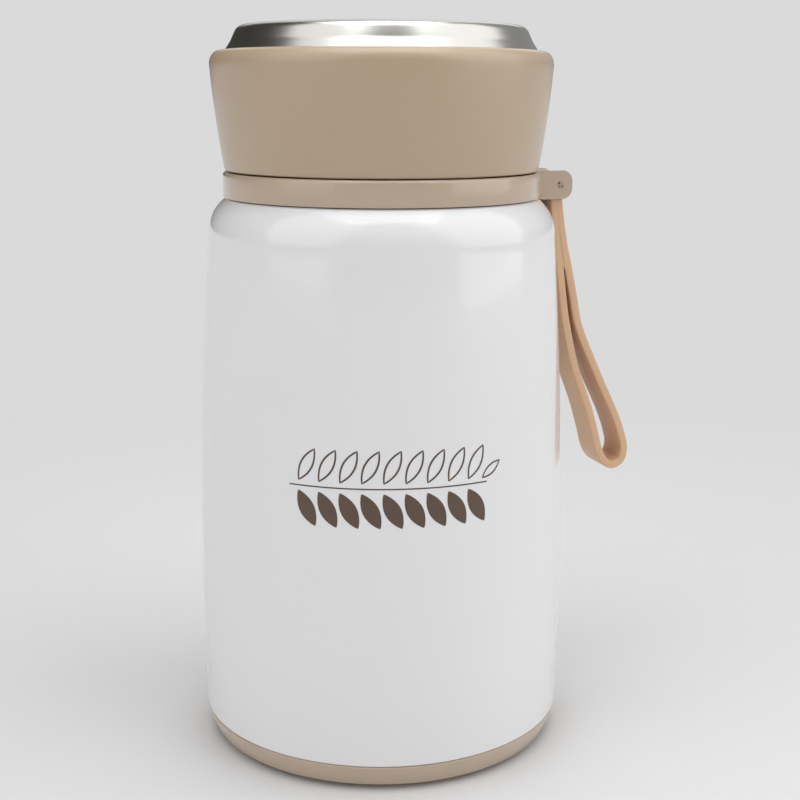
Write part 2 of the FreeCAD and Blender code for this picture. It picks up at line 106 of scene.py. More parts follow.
def gridFaces(rows, columns, wrapRows=False, wrapColumns=True):
    # quads between neighbouring rows and columns of a grid, with either direction closed on itself
    i = np.arange(rows if wrapRows else rows - 1)
    j = np.arange(columns if wrapColumns else columns - 1)
    ii, jj = np.meshgrid(i, j, indexing="ij")
    up, right = (ii + 1) % rows, (jj + 1) % columns
    quads = np.stack([ii * columns + jj, ii * columns + right, up * columns + right, up * columns + jj], -1)
    return quads.reshape(-1, 4)


def lathe(name, profile, segments=192):
    # turns a closed profile of (radius, height) about Z: x = r cos a, y = r sin a, z = h; the profile runs
    # counter-clockwise in the (r, z) plane so that faces point outwards
    profile = np.asarray(profile)
    angle = np.linspace(0, 2 * np.pi, segments, endpoint=False)
    r, h = profile[:, 0:1], profile[:, 1:2]
    points = np.stack([r * np.cos(angle), r * np.sin(angle), h + 0 * angle], -1).reshape(-1, 3)
    faces = gridFaces(len(profile), segments, wrapRows=True)
    onAxis = np.isclose(np.hypot(points[:, 0], points[:, 1]), 0, atol=1e-9)
    if onAxis.any():
        # the points of a row that lies on the axis become one
        index = np.arange(len(points))
        faces = np.where(onAxis, index // segments * segments, index)[faces]
        faces = faces[onAxis[faces].sum(1) <= 2]
        keep = np.unique(faces)
        renumber = np.zeros(len(points), int)
        renumber[keep] = np.arange(len(keep))
        points, faces = points[keep], renumber[faces]
    return meshFromArrays(name, points * mm, faces)


def joinArrays(parts):
    # several pairs of points and faces as one pair
    count, points, faces = 0, [], []
    for p, f in parts:
        points.append(p)
        faces.append(f + count)
        count += len(p)
    return np.concatenate(points), np.concatenate(faces)


def rounded(corners, radii, steps=8):
    # an open path with each inner corner replaced by a circular arc of its radius; without one it stays sharp
    corners = np.asarray(corners, float)
    path = [corners[0]]
    for k in range(1, len(corners) - 1):
        here, back, ahead = corners[k], corners[k - 1], corners[k + 1]
        radius = radii[k - 1] if k - 1 < len(radii) else 0
        if radius <= 0:
            path.append(here)
            continue
        a = (back - here) / np.linalg.norm(back - here)
        b = (ahead - here) / np.linalg.norm(ahead - here)
        half = math.acos(np.clip(a @ b, -1, 1)) / 2
        reach = radius / math.tan(half)
        middle = here + (a + b) / np.linalg.norm(a + b) * radius / math.sin(half)
        start, end = here + a * reach - middle, here + b * reach - middle
        t = np.linspace(0, 1, steps + 1)[:, None]
        opening = math.pi - 2 * half
        arc = (np.sin((1 - t) * opening) * start + np.sin(t * opening) * end) / math.sin(opening)
        path.extend(middle + arc)
    path.append(corners[-1])
    return np.array(path)


def band(path, wall):
    # closes a path into a wall: the path, then itself moved by wall to its left, backwards
    step = np.gradient(path, axis=0)
    left = np.stack([-step[:, 1], step[:, 0]], 1)
    left /= np.linalg.norm(left, axis=1, keepdims=True)
    return np.concatenate([path, (path + left * wall)[::-1]])


# shared effects as node groups

def newGroup(name, inputs, outputs):
    group = bpy.data.node_groups.new(name, "ShaderNodeTree")
    for label, kind, value in inputs:
        socket = group.interface.new_socket(name=label, in_out="INPUT", socket_type=kind)
        if value is not None:
            socket.default_value = value
    for label, kind in outputs:
        group.interface.new_socket(name=label, in_out="OUTPUT", socket_type=kind)
    return group, group.nodes.new("NodeGroupInput"), group.nodes.new("NodeGroupOutput")


def mathNode(tree, operation, *values):
    node = tree.nodes.new("ShaderNodeMath")
    node.operation = operation
    for k, value in enumerate(values):
        if isinstance(value, (int, float)):
            node.inputs[k].default_value = value
        else:
            tree.links.new(value, node.inputs[k])
    return node.outputs[0]


def mixColours(tree, first, second, factor):
    # a blend from the first colour to the second; a colour mix has its sockets at these places
    factorIn, firstIn, secondIn, colourOut = 0, 6, 7, 2
    node = tree.nodes.new("ShaderNodeMix")
    node.data_type = "RGBA"
    node.inputs[firstIn].default_value = (*first, 1)
    node.inputs[secondIn].default_value = (*second, 1)
    tree.links.new(factor, node.inputs[factorIn])
    return node.outputs[colourOut]


def mapRange(tree, value, source=(0, 1), target=(0, 1)):
    node = tree.nodes.new("ShaderNodeMapRange")
    for label, (low, high) in (("From", source), ("To", target)):
        node.inputs[label + " Min"].default_value = low
        node.inputs[label + " Max"].default_value = high
    tree.links.new(value, node.inputs["Value"])
    return node


def mixShaders(tree, first, second, factor, output):
    # the first shader where the factor is 0 and the second where it is 1, linked to the output's surface
    node = tree.nodes.new("ShaderNodeMixShader")
    for source, socket in zip((factor, first, second), node.inputs):
        tree.links.new(source, socket)
    tree.links.new(node.outputs[0], output.inputs["Surface"])


def mouldGrainGroup():
    # fine skin of moulded or sprayed surfaces: two sizes of noise, as a mask and a height
    group, start, end = newGroup(
        "mouldGrain",
        [
            ("Vector", "NodeSocketVector", None),
            ("Fine", "NodeSocketFloat", 900.0),
            ("Broad", "NodeSocketFloat", 40.0),
        ],
        [("Mask", "NodeSocketFloat"), ("Height", "NodeSocketFloat")],
    )
    fine = group.nodes.new("ShaderNodeTexNoise")
    fine.inputs["Detail"].default_value = 2
    broad = group.nodes.new("ShaderNodeTexNoise")
    broad.inputs["Detail"].default_value = 3
    for noise, size in ((fine, "Fine"), (broad, "Broad")):
        group.links.new(start.outputs["Vector"], noise.inputs["Vector"])
        group.links.new(start.outputs[size], noise.inputs["Scale"])
    group.links.new(broad.outputs[0], end.inputs["Mask"])
    group.links.new(fine.outputs[0], end.inputs["Height"])
    return group


def turnedLinesGroup():
    # concentric brush lines about Z: noise along radius and height, slowly changing round the axis
    aroundScale, blotchScale = 30.0, 60.0
    group, start, end = newGroup(
        "turnedLines",
        [("Vector", "NodeSocketVector", None), ("Density", "NodeSocketFloat", 2500.0)],
        [("Mask", "NodeSocketFloat"), ("Height", "NodeSocketFloat")],
    )
    split = group.nodes.new("ShaderNodeSeparateXYZ")
    group.links.new(start.outputs["Vector"], split.inputs[0])
    x, y, z = split.outputs
    squares = [mathNode(group, "MULTIPLY", side, side) for side in (x, y)]
    radius = mathNode(group, "SQRT", mathNode(group, "ADD", *squares))
    across = mathNode(group, "MULTIPLY", mathNode(group, "ADD", radius, z), start.outputs["Density"])
    join = group.nodes.new("ShaderNodeCombineXYZ")
    group.links.new(across, join.inputs[0])
    group.links.new(mathNode(group, "MULTIPLY", x, aroundScale), join.inputs[1])
    group.links.new(mathNode(group, "MULTIPLY", y, aroundScale), join.inputs[2])
    lines = group.nodes.new("ShaderNodeTexNoise")
    lines.inputs["Scale"].default_value = 1.0
    lines.inputs["Detail"].default_value = 4
    group.links.new(join.outputs[0], lines.inputs["Vector"])
    blotch = group.nodes.new("ShaderNodeTexNoise")
    blotch.inputs["Scale"].default_value = blotchScale
    group.links.new(start.outputs["Vector"], blotch.inputs["Vector"])
    group.links.new(blotch.outputs[0], end.inputs["Mask"])
    group.links.new(lines.outputs[0], end.inputs["Height"])
    return group


effects = {"mouldGrain": mouldGrainGroup(), "turnedLines": turnedLinesGroup()}


def finish(name, s):
    # one material: base colour between two tints, roughness between two values, and a small bump, all from
    # one effect
    material = bpy.data.materials.new(name)
    material.use_nodes = True
    tree = material.node_tree
    shader = tree.nodes["Principled BSDF"]
    shader.inputs["Metallic"].default_value = s.get("metallic", 0.0)
    shader.inputs["Coat Weight"].default_value = s.get("coat", 0.0)
    shader.inputs["Coat Roughness"].default_value = s.get("coatRough", 0.05)
    shader.inputs["Subsurface Weight"].default_value = s.get("depth", 0.0)
    shader.inputs["Subsurface Scale"].default_value = mm
    place = tree.nodes.new("ShaderNodeTexCoord")
    effect = tree.nodes.new("ShaderNodeGroup")
    effect.node_tree = effects[s["effect"]]
    tree.links.new(place.outputs["Object"], effect.inputs["Vector"])
    for label, value in s["sizes"].items():
        effect.inputs[label].default_value = value
    tint = mixColours(tree, s["light"], s["dark"], effect.outputs["Mask"])
    tree.links.new(tint, shader.inputs["Base Color"])
    rough = mapRange(tree, effect.outputs["Mask"], target=s["rough"])
    tree.links.new(rough.outputs[0], shader.inputs["Roughness"])
    bump = tree.nodes.new("ShaderNodeBump")
    bump.inputs["Strength"].default_value = s["bump"]
    bump.inputs["Distance"].default_value = s.get("bumpDepth", 0.00005)
    tree.links.new(effect.outputs["Height"], bump.inputs["Height"])
    tree.links.new(bump.outputs[0], shader.inputs["Normal"])
    return material


whitePaint = finish("whitePaint", {
    "effect": "mouldGrain", "sizes": {"Fine": 500, "Broad": 18},
    "light": (0.84, 0.84, 0.85), "dark": (0.82, 0.82, 0.83),
    "rough": (0.16, 0.22), "coat": 0.6, "coatRough": 0.04, "bump": 0.06,
})
beigeMoulding = finish("beigeMoulding", {
    "effect": "mouldGrain", "sizes": {"Fine": 2600, "Broad": 30},
    "light": (0.51, 0.385, 0.265), "dark": (0.48, 0.36, 0.245),
    "rough": (0.36, 0.44), "coat": 0.7, "coatRough": 0.24, "bump": 0.3, "bumpDepth": 0.00002,
})
beigeGloss = finish("beigeGloss", {
    "effect": "mouldGrain", "sizes": {"Fine": 1200, "Broad": 30},
    "light": (0.53, 0.41, 0.305), "dark": (0.50, 0.385, 0.285),
    "rough": (0.20, 0.27), "bump": 0.08, "coat": 0.7, "coatRough": 0.10,
})
beigeRubber = finish("beigeRubber", {
    "effect": "mouldGrain", "sizes": {"Fine": 3000, "Broad": 60},
    "light": (0.72, 0.465, 0.29), "dark": (0.68, 0.43, 0.255),
    "rough": (0.42, 0.52), "bump": 0.15, "bumpDepth": 0.00001,
})
brushedSteel = finish("brushedSteel", {
    "effect": "turnedLines", "sizes": {"Density": 3000},
    "light": (0.64, 0.63, 0.60), "dark": (0.58, 0.57, 0.54),
    "metallic": 1.0, "rough": (0.20, 0.28), "bump": 0.25, "bumpDepth": 0.00002,
})
plainSteel = finish("plainSteel", {
    "effect": "turnedLines", "sizes": {"Density": 1200},
    "light": (0.62, 0.61, 0.59), "dark": (0.56, 0.55, 0.53),
    "metallic": 1.0, "rough": (0.28, 0.36), "bump": 0.12, "bumpDepth": 0.00002,
})
polishedPin = finish("polishedPin", {
    "effect": "mouldGrain", "sizes": {"Fine": 4000, "Broad": 400},
    "light": (0.30, 0.285, 0.23), "dark": (0.20, 0.19, 0.15),
    "metallic": 1.0, "rough": (0.12, 0.20), "bump": 0.1,
})
whiteMoulding = finish("whiteMoulding", {
    "effect": "mouldGrain", "sizes": {"Fine": 2400, "Broad": 40},
    "light": (0.78, 0.77, 0.74), "dark": (0.74, 0.73, 0.70),
    "rough": (0.35, 0.45), "bump": 0.2, "bumpDepth": 0.00002,
})
paleSilicone = finish("paleSilicone", {
    "effect": "mouldGrain", "sizes": {"Fine": 1500, "Broad": 80},
    "light": (0.80, 0.79, 0.75), "dark": (0.74, 0.73, 0.69),
    "rough": (0.40, 0.55), "bump": 0.15, "depth": 0.3,
})
foamBlock = finish("foamBlock", {
    "effect": "mouldGrain", "sizes": {"Fine": 700, "Broad": 250},
    "light": (0.85, 0.85, 0.84), "dark": (0.76, 0.76, 0.75),
    "rough": (0.80, 0.95), "bump": 0.8, "bumpDepth": 0.0002,
})
sealDrop = finish("sealDrop", {
    "effect": "mouldGrain", "sizes": {"Fine": 600, "Broad": 200},
    "light": (0.06, 0.06, 0.065), "dark": (0.03, 0.03, 0.035),
    "rough": (0.15, 0.30), "bump": 0.2,
})
brownPrint = finish("brownPrint", {
    "effect": "mouldGrain", "sizes": {"Fine": 2000, "Broad": 300},
    "light": (0.125, 0.078, 0.052), "dark": (0.10, 0.062, 0.042),
    "rough": (0.30, 0.40), "bump": 0.05,
})
print("materials made:", len(bpy.data.materials))


def dress(piece, material, body, slot, *replaced):
    # gives a new piece its material and body, and hides the CAD nodes that it stands for
    piece.data.materials.append(material)
    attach(piece, body)
    if replaced:
        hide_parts(*replaced)


# painted body: straight side, long arc and round shoulder, as one turned wall

bodySettings = {
    "wall": 0.6, "foot": 2.2, "ledge": 7.1, "ledgeRound": 0.2, "skirt": 46.6, "edge": 50.0, "edgeRound": 0.5,
    "belly": 50.3, "bellyHeight": 37.0, "sideArc": 1323.0, "sideStart": 41.0, "sideEnd": 136.0,
    "shoulderStart": 138.0, "shoulderArc": 11.5,
    "seat": 148.0, "seatEdge": 41.6, "seatStep": 0.6, "neckRoot": 34.5,
}


def sideRadius(z, s=bodySettings):
    # above the belly, its radius less the drop of a large circle: belly - arc + sqrt(arc^2 - up^2)
    up = np.maximum(np.asarray(z, float) - s["bellyHeight"], 0)
    return s["belly"] - s["sideArc"] + np.sqrt(s["sideArc"] ** 2 - up ** 2)


def arcBetween(start, end, radius, steps):
    # points on a circle of that radius through both ends, bulging to the left of the way from end to start
    start, end = np.array(start, float), np.array(end, float)
    chord = end - start
    half = np.linalg.norm(chord) / 2
    inward = np.array([-chord[1], chord[0]]) / (2 * half)
    middle = (start + end) / 2 + inward * math.sqrt(radius ** 2 - half ** 2)
    a, b = start - middle, end - middle
    opening = 2 * math.asin(half / radius)
    t = np.linspace(0, 1, steps)[:, None]
    return middle + (np.sin((1 - t) * opening) * a + np.sin(t * opening) * b) / math.sin(opening)


def paintedBody(s):
    low = rounded([
        (s["skirt"], s["foot"]), (s["skirt"], s["ledge"]), (s["edge"], s["ledge"]),
        (s["belly"], s["bellyHeight"]),
    ], [s["ledgeRound"], s["edgeRound"]])
    z = np.linspace(s["sideStart"], s["sideEnd"], 40)
    side = np.stack([sideRadius(z), z], 1)
    shoulderFoot = (float(sideRadius(s["shoulderStart"])), s["shoulderStart"])
    shoulder = arcBetween(shoulderFoot, (s["seatEdge"], s["seat"]), s["shoulderArc"], steps=24)
    seat = np.array([(s["seatEdge"] - s["seatStep"], s["seat"]), (s["neckRoot"], s["seat"])])
    return lathe("paintedBody", band(np.concatenate([low, side, shoulder, seat]), s["wall"]), segments=256)


dress(paintedBody(bodySettings), whitePaint, "vessel", "white_paint", "outer_shell")


# bare steel neck with its bead and three thread ridges

neckSettings = {
    "root": 34.5, "tuck": 0.02, "wall": 0.6, "foot": 147.4, "lowTop": 150.0,
    "beadHeight": 155.95, "bead": 0.7, "step": 0.05,
    "coneTop": 158.25, "coneRound": 0.5, "radius": 32.8, "top": 167.4,
}
threadSettings = {
    "radius": neckSettings["radius"], "start": 161.3, "lead": 12.0, "starts": 3, "sweep": 100.0,
    "height": 1.1, "sunk": 0.35,
    "rootWidth": 1.7, "crestWidth": 0.8, "fade": 6, "least": 0.15,
}


def steelNeck(s):
    t = np.linspace(-np.pi / 2, np.pi / 2, 9)
    bead = np.stack([s["root"] + s["bead"] * np.cos(t), s["beadHeight"] + s["bead"] * np.sin(t)], 1)
    low = np.array([(s["root"] - s["tuck"], s["foot"]), (s["root"] - s["tuck"], s["lowTop"])])
    top = rounded([
        bead[-1] + (-s["step"], 0), (s["radius"], s["coneTop"]), (s["radius"], s["top"]),
    ], [s["coneRound"]])
    return lathe("steelNeck", band(np.concatenate([low, bead, top]), s["wall"]))


def neckThread(s):
    # each ridge follows z = start + lead * turn, with a four-sided section that fades in and out at its ends
    share = np.linspace(0, 1, 72)
    fade = np.minimum(1, np.minimum(s["fade"] * share, s["fade"] * (1 - share)) + s["least"])
    foot = s["radius"] - s["sunk"]
    tip = foot + (s["height"] + s["sunk"]) * fade
    rise = s["start"] + s["lead"] * s["sweep"] * share / 360
    r = np.stack([foot + 0 * tip, tip, tip, foot + 0 * tip], 1)
    z = rise[:, None] + np.array([-s["rootWidth"], -s["crestWidth"], s["crestWidth"], s["rootWidth"]]) / 2
    last = 4 * (len(share) - 1)
    ends = np.array([[3, 2, 1, 0], [last, last + 1, last + 2, last + 3]])
    faces = np.concatenate([gridFaces(len(share), 4), ends])[:, ::-1]
    ridges = []
    for k in range(s["starts"]):
        angle = np.radians(s["sweep"] * share + 360 * k / s["starts"])[:, None]
        ridges.append((np.stack([r * np.cos(angle), r * np.sin(angle), z], -1).reshape(-1, 3), faces))
    points, faces = joinArrays(ridges)
    return meshFromArrays("neckThread", points * mm, faces, sharp=50)


dress(steelNeck(neckSettings), plainSteel, "vessel", "steel")
dress(neckThread(threadSettings), plainSteel, "vessel", "steel")
print("body and neck made")


# base band: a shallow dish whose side leans out to the body

baseSettings = {
    "height": 7.0, "foot": 44.9, "footHeight": 1.2, "footRound": 0.1, "floor": 2.0, "inner": 46.8,
    "low": 48.0, "lowRun": 0.6, "lowRise": 0.5, "lowRound": 0.45, "sideArc": 15.0,
    "top": 49.9, "sideGap": 0.35, "topGap": 0.3, "topRound": 0.25,
    "groove": 0.8, "grooveIn": 29.1, "grooveOut": 40.1, "grooveRound": 0.3,
}


def baseBand(s):
    dip, rise = s["groove"], s["footHeight"]
    underside = rounded([
        (0, 0), (s["grooveIn"], 0), (s["grooveIn"] + dip, dip),
        (s["grooveOut"] - dip, dip), (s["grooveOut"], 0),
        (s["foot"], 0), (s["foot"], rise), (s["low"] - s["lowRun"], rise),
    ], [s["grooveRound"]] * 4 + [s["footRound"]] * 2, steps=4)
    sideFoot = (s["low"], rise + s["lowRise"])
    lowEdge = rounded([underside[-1], (s["low"], rise), sideFoot], [s["lowRound"]], steps=6)[1:-1]
    side = arcBetween(sideFoot, (s["top"], s["height"] - s["sideGap"]), s["sideArc"], steps=16)
    topEdge = rounded([
        (s["top"], s["height"] - s["topGap"]), (s["top"], s["height"]), (s["inner"], s["height"]),
    ], [s["topRound"]], steps=5)
    inside = [(s["inner"], s["floor"]), (0, s["floor"])]
    return lathe("baseBand", np.concatenate([underside, lowEdge, side, topEdge, inside]), segments=256)


dress(baseBand(baseSettings), beigeGloss, "vessel", "beige_gloss", "base_cap")


# inner vessel: a deep steel cup with a rolled rim

linerSettings = {
    "wall": 0.6, "floor": 10.0, "corner": 12.0, "gap": 3.2,
    "sideStart": 41.0, "sideEnd": 135.0, "sideRise": 0.5, "lean": 0.1,
    "shoulder": 143.0, "shoulderRise": 2.0, "neck": 32.0, "rim": 168.0, "rimOut": 32.8,
    "shoulderRound": 6.0, "neckRound": 1.0, "rimRound": 0.1,
}


def innerVessel(s):
    wall = bodySettings["belly"] - s["gap"] - bodySettings["wall"]
    low = rounded([
        (0, s["floor"]), (wall, s["floor"]), (wall, bodySettings["bellyHeight"]),
    ], [s["corner"]], steps=14)
    z = np.linspace(s["sideStart"], s["sideEnd"], 20)
    side = np.stack([sideRadius(z) - s["gap"] - bodySettings["wall"], z], 1)
    top = side[-1]
    roll = rounded([
        top + (0, s["sideRise"]), (top[0] - s["lean"], s["shoulder"]),
        (s["neck"], s["shoulder"] + s["shoulderRise"]),
        (s["neck"], s["rim"] - s["wall"]), (s["rimOut"], s["rim"] - s["wall"]),
    ], [s["shoulderRound"], s["neckRound"], s["rimRound"]], steps=10)
    return lathe("innerVessel", band(np.concatenate([low, side, roll]), s["wall"]))


dress(innerVessel(linerSettings), plainSteel, "vessel", "steel", "inner_liner")


# strap collar: turned ring, and a forked lug made of three rounded slabs

pinPlace = {"x": 49.4, "z": 150.75}
collarSettings = {
    "inner": 34.75, "outer": 42.2, "low": 148.25, "high": 154.85, "edge": 0.9, "wall": 2.0,
    "lowRun": 0.5, "lowEdge": 0.3,
}
lugSettings = {
    "root": 39.0, "shelf": 42.8, "shelfRun": 1.2, "shelfRound": 0.3, "low": collarSettings["low"],
    "end": 52.1, "half": 3.1,
    "corner": 2.2, "edge": 0.8, "slotHalf": 4.5, "slotEdge": 0.15, "ear": 2.2,
    "web": 45.7, "webSunk": 0.3, "webEdge": 0.05,
}


def slabArrays(outline, low, high, edgeLow, edgeHigh, steps=4):
    # a closed outline in (x, z), swept along y with rounded edges: near each side the outline lies inwards by
    # edge * (1 - sin a) while y lies edge * (1 - cos a) from the side; a fan from the middle closes each side
    step = np.roll(outline, -1, 0) - np.roll(outline, 1, 0)
    inward = np.stack([-step[:, 1], step[:, 0]], 1)
    inward /= np.linalg.norm(inward, axis=1, keepdims=True)
    a = np.linspace(0, np.pi / 2, steps)
    insets = np.concatenate([edgeLow * (1 - np.sin(a)), edgeHigh * (1 - np.sin(a[::-1]))])
    ys = np.concatenate([low + edgeLow * (1 - np.cos(a)), high - edgeHigh * (1 - np.cos(a[::-1]))])
    rings = outline[None] + inward[None] * insets[:, None, None]
    points = np.stack([rings[..., 0], ys[:, None] + 0 * rings[..., 0], rings[..., 1]], -1)
    rows, columns = points.shape[:2]
    x, z = outline.mean(0)
    points = np.concatenate([points.reshape(-1, 3), [(x, low, z), (x, high, z)]])
    j = np.arange(columns)
    nextJ = (j + 1) % columns
    lowMiddle, highMiddle = 0 * j + rows * columns, 0 * j + rows * columns + 1
    lowCap = np.stack([j, nextJ, lowMiddle, lowMiddle], 1)
    last = (rows - 1) * columns
    highCap = np.stack([last + nextJ, last + j, highMiddle, highMiddle], 1)
    return points, np.concatenate([gridFaces(rows, columns)[:, ::-1], lowCap, highCap])


def strapCollar(s):
    roof = s["high"] - s["wall"]
    inside = [
        (s["inner"], s["low"]), (s["inner"] + s["wall"], s["low"]), (s["inner"] + s["wall"], roof),
        (s["outer"] - s["wall"], roof), (s["outer"] - s["wall"], s["low"]),
    ]
    outside = rounded([
        (s["outer"] - s["lowRun"], s["low"]), (s["outer"], s["low"]),
        (s["outer"], s["high"]), (s["inner"], s["high"]),
    ], [s["lowEdge"], s["edge"]], steps=7)
    return lathe("collarRing", np.concatenate([inside, outside]), segments=256)


def strapLug(s):
    low, high = pinPlace["z"] - s["half"], pinPlace["z"] + s["half"]
    base = [(s["root"], s["low"]), (s["shelf"], s["low"]), (s["shelf"] + s["shelfRun"], low)]
    nose = [(s["end"], low), (s["end"], high), (s["root"], high)]
    rounds = [s["shelfRound"], s["shelfRound"], s["corner"], s["corner"]]
    ear = rounded(base + nose, rounds, steps=12)[::-1]
    web = np.array(base + [(s["web"], low), (s["web"], high), (s["root"], high)])[::-1]
    inner, outer, webHalf = s["slotHalf"], s["slotHalf"] + s["ear"], s["slotHalf"] + s["webSunk"]
    points, faces = joinArrays([
        slabArrays(ear, -outer, -inner, s["edge"], s["slotEdge"], steps=7),
        slabArrays(ear, inner, outer, s["slotEdge"], s["edge"], steps=7),
        slabArrays(web, -webHalf, webHalf, s["webEdge"], s["webEdge"]),
    ])
    return meshFromArrays("strapLug", points * mm, faces, sharp=40)


dress(strapCollar(collarSettings), beigeGloss, "collar", "beige_gloss", "strap_collar")
dress(strapLug(lugSettings), beigeGloss, "collar", "beige_gloss")


# hinge pin: a shaft with a domed head at each end, each head with a cross recess

pinSettings = {
    "radius": 1.2, "half": 6.95, "dome": 0.35, "shaftEnd": 0.1,
    "cross": 0.22, "crossDepth": 0.3, "crossReach": 0.72, "middle": 0.001, "innerRing": 0.08,
}


def hingePin(s):
    # polar grid over each head: height = dome falling with the square of the radius, less a cross-shaped
    # recess; the last ring drops to the shaft's inner end
    angle = np.linspace(0, 2 * np.pi, 48, endpoint=False)
    r = np.concatenate([[s["middle"]], np.linspace(s["innerRing"], 1, 14), [1.0]])[:, None]
    x, z = s["radius"] * r * np.cos(angle), s["radius"] * r * np.sin(angle)
    reach = np.hypot(x, z) < s["crossReach"] * s["radius"]
    recess = ((np.abs(x) < s["cross"]) | (np.abs(z) < s["cross"])) & reach
    y = s["half"] - s["dome"] * r ** 2 - s["crossDepth"] * recess
    y[-1] = s["shaftEnd"]
    faces = gridFaces(len(r), len(angle))
    halves = []
    for side, ordered in ((-1, faces[:, ::-1]), (1, faces)):
        points = np.stack([pinPlace["x"] + x, side * y, pinPlace["z"] + z], -1).reshape(-1, 3)
        halves.append((points, ordered))
    points, faces = joinArrays(halves)
    return meshFromArrays("hingePin", points * mm, faces, sharp=30)


dress(hingePin(pinSettings), polishedPin, "collar", "pin_steel", "strap_pin")


# strap: one flat band that leaves the eye, goes down the outer side, round the heel and back up the inner
# side; its path is given as (outwards, downwards) from the pin

strapSettings = {
    "outer": [
        (1.3, 0), (1.2, 3.2), (3.1, 15.7), (4.81, 22.9), (6.49, 30.3), (8.44, 39.07),
        (12.91, 49.3), (16.59, 57.1), (21.1, 66.3),
    ],
    "heel": [
        (23.4, 72.3), (24.4, 77.0), (23.3, 80.9), (20.1, 82.6), (17.0, 81.6), (14.6, 78.2), (12.8, 72.2),
    ],
    "inner": [
        (10.4, 64.4), (5.49, 51.4), (2.24, 37.7), (1.05, 30.3), (0.0, 22.9),
        (-1.1, 15.2), (-2.2, 3.2), (-2.2, 0),
    ],
    "half": 5.5, "band": 2.2, "edge": 0.35,
    "split": 22.9, "splitFade": 1.6, "overlap": 0.02, "squareEdge": 0.01,
    "eye": 2.6, "eyeHalf": 4.2, "eyeEdge": 0.3, "shoulder": 3.6,
}


def smoothThrough(points, count):
    # a curve through the points: a cubic in each coordinate over the summed square roots of the chords
    points = np.asarray(points, float)
    chord = np.concatenate([[0], np.cumsum(np.sqrt(np.linalg.norm(np.diff(points, axis=0), axis=1)))])
    slope = np.gradient(points, chord, axis=0)
    t = np.linspace(0, chord[-1], count)
    k = np.clip(np.searchsorted(chord, t, side="right") - 1, 0, len(chord) - 2)
    width = (chord[k + 1] - chord[k])[:, None]
    u = ((t - chord[k]) / (chord[k + 1] - chord[k]))[:, None]
    return (
        (2 * u ** 3 - 3 * u ** 2 + 1) * points[k] + (u ** 3 - 2 * u ** 2 + u) * width * slope[k]
        + (3 * u ** 2 - 2 * u ** 3) * points[k + 1] + (u ** 3 - u ** 2) * width * slope[k + 1]
    )


def roundedRun(half, edge):
    # one face of a band's section, from one side of its width to the other: y, and the depth below the face,
    # with quarter-round ends of radius edge
    a = np.linspace(0, np.pi / 2, 5)
    a = np.concatenate([a, a[::-1]])
    sideOf = np.repeat([1, -1], 5)
    return sideOf * (half - edge * (1 - np.cos(a))), edge * (1 - np.sin(a))


def strapBand(s):
    # the section is a rounded rectangle: its outer face lies on the path and its thickness goes inwards
    path = smoothThrough(s["outer"] + s["heel"] + s["inner"], 320)
    out, down = path[:, 0], path[:, 1]
    heel = np.argmax(down)
    across = np.where(
        np.arange(len(path)) < heel,
        out - np.interp(down, down[heel:][::-1], out[heel:][::-1]),
        np.interp(down, down[:heel + 1], out[:heel + 1]) - out,
    )
    # above the split the halves meet in the middle with square inner edges, so the stem looks solid
    below = np.clip((path[:, 1:] - s["split"] + s["splitFade"] / 2) / s["splitFade"], 0, 1)
    thick = s["band"] * below + (0.5 * across[:, None] + s["overlap"]) * (1 - below)
    step = np.gradient(path, axis=0)
    step /= np.linalg.norm(step, axis=1, keepdims=True)
    half = np.where(path[:, 1:] < s["shoulder"], s["eyeHalf"], s["half"])
    ys, deep = roundedRun(half, s["edge"] + 0 * below)
    farYs, farDeep = roundedRun(half, s["squareEdge"] + (s["edge"] - s["squareEdge"]) * below)
    y = np.concatenate([ys[:, ::-1], -farYs[:, ::-1]], 1)
    depth = np.concatenate([deep, thick - farDeep], 1)
    x = pinPlace["x"] + path[:, :1] - step[:, 1:] * depth
    z = pinPlace["z"] - path[:, 1:] - step[:, :1] * depth
    points = np.stack([x, y, z], -1)
    rows, columns = points.shape[:2]
    return meshFromArrays("strapBand", points.reshape(-1, 3) * mm, gridFaces(rows, columns))


def strapEye(s):
    t = np.linspace(0, 2 * np.pi, 48, endpoint=False)
    ring = np.stack([pinPlace["x"] + s["eye"] * np.cos(t), pinPlace["z"] + s["eye"] * np.sin(t)], 1)[::-1]
    points, faces = slabArrays(ring, -s["eyeHalf"], s["eyeHalf"], s["eyeEdge"], s["eyeEdge"])
    return meshFromArrays("strapEye", points * mm, faces)


dress(strapBand(strapSettings), beigeRubber, "strap", "beige_soft", "strap")
dress(strapEye(strapSettings), beigeRubber, "strap", "beige_soft")
print("collar and strap made")


# lid: moulded sleeve round a steel bowl, whose foot stands out on top

lidSettings = {
    "foot": 155.15, "footRun": 0.1, "footRound": 0.7, "lowRadius": 41.75, "lowEdge": 0.8, "bow": 0.3,
    "wideRadius": 45.05, "sideTop": 27.2, "height": 30.7, "crownIn": 2.9, "lip": 38.0, "lipHeight": 0.8,
    "inner": 39.95, "innerLow": 4.0, "innerHigh": 25.2,
    "hole": 41.1, "holeLean": 0.5, "roof": 1.6, "wall": 2.0,
}
bowlSettings = {
    "wall": 0.6, "mouth": 39.8, "mouthHeight": 157.15, "sideHeight": 161.15,
    "waist": 41.45, "waistHeight": 184.25, "throat": 40.95, "throatHeight": 185.85,
    "flare": 39.5, "flareHeight": 188.05, "foot": 37.55, "top": 192.25,
    "recessRadius": 26.05, "recess": 0.9, "rounds": [2, 0.3, 0.6, 6, 3.0, 0.8, 0.8],
}


